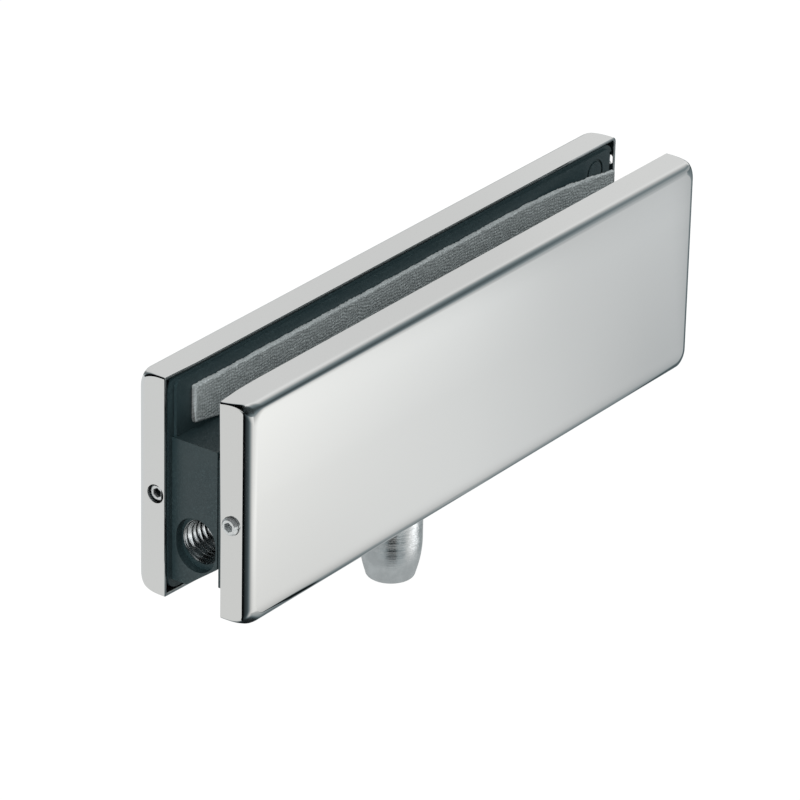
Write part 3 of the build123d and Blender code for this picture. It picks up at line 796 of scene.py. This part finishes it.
gasketSet = {
    "startX": -62.0, "flatEnd": 55.0, "curlRadius": 122.125, "endX": 86.0,
    "low": 37.4, "high": 47.2, "thick": 1.2, "back": 6.75,
    "cutLong": 9.0, "cutHigh": 1.5,          # the trimmed lower corner at the near end
    "pitch": 0.74, "relief": 0.13, "samples": 5,
    "thread": (.35, .95), "powers": 1.30,    # how flat a thread's crown is along and across, and what the two add up to
    # each unevenness is its amount, its number of waves and the span of their lengths
    "stray": (.26, 8, (1.5, 9)),             # how far threads wander
    "uneven": (.25, 9, (1.2, 5)),            # of the crowns
    "swell": (.05, 7, (4, 20)),              # of the whole face
    "fray": (.12, 14, (.7, 6)), "frayMost": .5,      # how ragged the top is
    "rounding": (.5, .18), "sink": .6,       # width and depth of the face's rounded edge, and the most it falls back
    "backStep": 12, "sideSteps": 6,          # every how many columns the back has one, and the steps of the cut sides
    "rimWidths": (1.5, .6, .8), "rimShares": (.35, .5, .6, .25),   # pale rim: top, near end, far end and the sides
    "darkTone": (0.085, 0.105, 0.110), "lightTone": (0.66, 0.73, 0.735), "fuzzTone": (0.44, 0.475, 0.48),
    "crownShare": .42, "fleckShare": 1.3, "fibreShare": .6, "dark": -.58,       # what makes a place light; crown * crownShare paints shade between the threads
    "fleckScale": 1.5, "fibreScale": (9, 3, 1), "bump": (.6, .0001), "fuzzSpan": (.42, .62, .05, 1),
    "roughness": .9, "sheen": (.25, .5), "hiddenCrown": .1, "rimPower": .7,
}


def wovenFibre():
    # grey woven fibre: threads lighter on their crowns with painted shade between them, flecked, with a paler frayed
    # rim;
    # lightness = crown * crownShare + fleck * fleckShare + fibre * fibreShare + dark
    s = gasketSet
    material, tree = freshMaterial("wovenFibre")
    uv = put(tree, "UVMap", uv_map="cloth").outputs[0]
    crown = put(tree, "Attribute", attribute_name="crown").outputs["Fac"]
    rim = put(tree, "Attribute", attribute_name="rim").outputs["Fac"]
    fleck = noise(tree, uv, s["fleckScale"], 4.0, .75)
    fibre = noise(tree, put(tree, "Mapping", {"Vector": uv, "Scale": s["fibreScale"]}).outputs[0], 1.0, 3.0)
    share = calc(tree, "MULTIPLY_ADD", fibre, s["fibreShare"], s["dark"])
    share = calc(tree, "MULTIPLY_ADD", fleck, s["fleckShare"], share)
    share = calc(tree, "MULTIPLY_ADD", crown, s["crownShare"], share, clamp=True)
    cloth = blendColour(tree, share, s["darkTone"], s["lightTone"])
    fuzz = calc(tree, "MULTIPLY", rim, spread(tree, fibre, *s["fuzzSpan"]), clamp=True)
    finishMaterial(tree, {
        "Base Color": blendColour(tree, fuzz, cloth, s["fuzzTone"]), "Roughness": s["roughness"],
        "Sheen Weight": s["sheen"][0], "Sheen Roughness": s["sheen"][1], "Normal": bumped(tree, fibre, *s["bump"])})
    return material


def clothLine(run):
    # middle line of the strip at the distance run from its near end: straight, then an arc; gives x, y and the turn
    s = gasketSet
    flat, radius = s["flatEnd"] - s["startX"], s["curlRadius"]
    turn = np.maximum(run - flat, 0) / radius
    return s["startX"] + np.minimum(run, flat) + radius * np.sin(turn), s["back"] - radius * (1 - np.cos(turn)), turn


def waviness(a, b, unevenness, seed):
    # a smooth random field: the amount times a sum of sine waves of random direction, length and phase
    amount, count, reach = unevenness
    rng = np.random.default_rng(seed)
    total = np.zeros(np.broadcast(a, b).shape)
    for step in range(count):
        angle, phase = rng.uniform(0, 2 * math.pi, 2)
        wave = 2 * math.pi / rng.uniform(*reach)
        total += np.sin(wave * (a * math.cos(angle) + b * math.sin(angle)) + phase)
    return amount * (total / math.sqrt(count))


def wovenStrip(name, curled, seed):
    # a strip of plain weave: the face stands up by relief * |sin a|^e * |sin b|^(1.3 - e), a and b the places along
    # and across in threads, with e changing over at each crossing; the section runs round face, top, back and bottom
    s = gasketSet
    flat, high, pitch = s["flatEnd"] - s["startX"], s["high"] - s["low"], s["pitch"]
    curl = s["curlRadius"] * math.asin((s["endX"] - s["flatEnd"]) / s["curlRadius"])
    long = flat + curl if curled else s["endX"] - s["startX"]
    u = np.linspace(0, long, int(long * s["samples"] / pitch))
    v = np.linspace(0, 1, int(high * s["samples"] / pitch))
    side, back = np.linspace(0, 1, s["sideSteps"])[1:-1], v[::-s["backStep"]]
    across = np.concatenate([v, np.ones(len(side)), back, np.zeros(len(side))])
    depth = np.concatenate([np.zeros(len(v)), side, np.ones(len(back)), side[::-1]])   # 0 on the face, 1 on the back
    run, rise = np.meshgrid(u, across, indexing="ij")
    deep = np.broadcast_to(depth, run.shape)
    bottom = s["cutHigh"] * np.clip(1 - run / s["cutLong"], 0, 1) if curled else 0 * run
    height = bottom + (high - bottom) * rise

    strayRun = run + waviness(run, height, s["stray"], seed + 5)
    strayHeight = height + waviness(run, height, s["stray"], seed + 6)
    a, b = math.pi * strayRun / pitch, math.pi * strayHeight / pitch
    parity = (np.floor(strayRun / pitch) + np.floor(strayHeight / pitch)) % 2
    along = np.where(parity > 0, *s["thread"])
    crown = np.abs(np.sin(a)) ** along * np.abs(np.sin(b)) ** (s["powers"] - along)
    crown = crown * (1 + waviness(run, height, s["uneven"], seed))
    onFace = (deep == 0)
    fromEdge = np.minimum(np.minimum(height - bottom, high - height), np.minimum(run, long - run))
    width, fall = s["rounding"]
    edge = np.clip(fromEdge / width, 0, 1)
    inward = s["relief"] * (1 - np.clip(crown, 0, 1)) * edge + fall * (1 - edge) ** 2
    inward = inward + waviness(run, height, s["swell"], seed + 1)
    inward = np.where(onFace, np.clip(inward, 0, s["sink"]), 0)
    x, y, turn = clothLine(run) if curled else (s["startX"] + run, np.full(run.shape, s["back"]), 0 * run)
    upper = (rise > .5)
    lift = waviness(run, deep * 3, s["fray"], seed + 2) * upper - s["fray"][0]
    lift = np.where(upper, np.clip(lift, -s["frayMost"], 0), 0) * np.clip(height - high + 1, 0, 1)
    out = s["thick"] * (1 - deep) - inward
    x, y = x - out * np.sin(turn), y - out * np.cos(turn)
    points = np.stack([x, y, s["low"] + height + lift], axis=-1)
    piece = gridMesh(name, points * mm, closeAcross=True, flip=True, capEnds=True)

    mesh = piece.data
    topWidth, nearWidth, farWidth = s["rimWidths"]
    topShare, nearShare, farShare, sideShare = s["rimShares"]
    rim = np.clip(1 - (high - height) / topWidth, 0, 1) ** s["rimPower"] * topShare
    rim = rim + np.clip(1 - run / nearWidth, 0, 1) * nearShare
    rim = rim + np.clip(1 - (long - run) / farWidth, 0, 1) * farShare + (deep > 0) * (deep < 1) * sideShare
    # crown lightens the face where threads stand up, so the dips between them carry painted shade
    crown = np.where(onFace, np.clip(crown, 0, 1), s["hiddenCrown"])
    for attribute, values in (("crown", crown), ("rim", np.clip(rim, 0, 1))):
        data = mesh.attributes.new(attribute, "FLOAT", "POINT").data
        data.foreach_set("value", values.astype(np.float32).ravel())
    layer = mesh.uv_layers.new(name="cloth")
    corner = np.zeros(len(mesh.loops), np.int32)
    mesh.loops.foreach_get("vertex_index", corner)
    flatPlace = np.stack([run, height + deep * .8], axis=-1).reshape(-1, 2)
    layer.data.foreach_set("uv", flatPlace[corner].astype(np.float32).ravel())
    return piece


def mirroredAcross(piece):
    # the strip on the other jaw: y changes sign and the faces are turned back
    mesh = piece.data
    mesh.transform(Matrix.Diagonal((1, -1, 1, 1)))
    mesh.flip_normals()


clothFinish = wovenFibre()
backCloth = wovenStrip("back_gasket_cloth", True, 11)
frontCloth = wovenStrip("front_gasket_cloth", False, 23)
mirroredAcross(frontCloth)
for cloth, body, node in ((backCloth, "back_jaw", "back_gasket"), (frontCloth, "front_jaw", "front_gasket")):
    cloth.data.materials.append(clothFinish)
    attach(cloth, body)
    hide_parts(node)
print("gaskets woven")


# the thread of the wall-anchor hole, in mm

threadSet = {
    "y": 1.2, "z": 13.8, "start": -65.3, "end": -42.6, "pitch": 1.5,
    "outer": 5.04, "root": 5.00, "crest": 4.20,              # radii
    "runIn": 1.0, "runOut": .8,                              # where the ridge rises at the start and falls at the end
    "flank": (1.25, 2.5), "least": (.15, .1),                # height and slope of the cut triangle, least at the ends
    "around": 96, "perPitch": 14, "tone": (.55, .58, .59),
}


def threadSleeve():
    # a thread: the radius at (turn, x) rises and falls as a flattened triangle of x / pitch - turn / (2 pi);
    # the outside is plain
    s = threadSet
    long = s["end"] - s["start"]
    turn = np.linspace(0, 2 * math.pi, s["around"], endpoint=False)
    count = int(long / s["pitch"] * s["perPitch"])
    x = np.concatenate([np.linspace(0, 1, count), [1, .5, 0]])[:, None] * long + s["start"]
    phase = (x / s["pitch"] - turn[None] / (2 * math.pi)) % 1
    tall, slope = s["flank"]
    ridge = np.clip(tall - slope * np.abs(phase - .5), 0, 1)
    share = np.clip((x - s["start"]) / s["runIn"], s["least"][0], 1)
    share = share * np.clip((s["end"] - x) / s["runOut"], s["least"][1], 1)
    radius = s["root"] - (s["root"] - s["crest"]) * ridge * share
    radius[count:] = s["outer"]
    y, z = s["y"] + radius * np.sin(turn), s["z"] + radius * np.cos(turn)
    points = np.stack([np.broadcast_to(x, radius.shape), y, z], axis=-1)
    return gridMesh("anchor_thread", points * mm, closeAcross=True, closeAlong=True)


thread = threadSleeve()
thread.data.materials.append(turnedSteel("cutThread", 0, threadSet["tone"]))
makeLamp("threadGlow", *lampSet["threadGlow"], True, [thread])
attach(thread, "back_jaw")
print("thread cut")


# the colour view and the end

bpy.context.scene.view_settings.view_transform = "Standard"
bpy.context.view_layer.update()
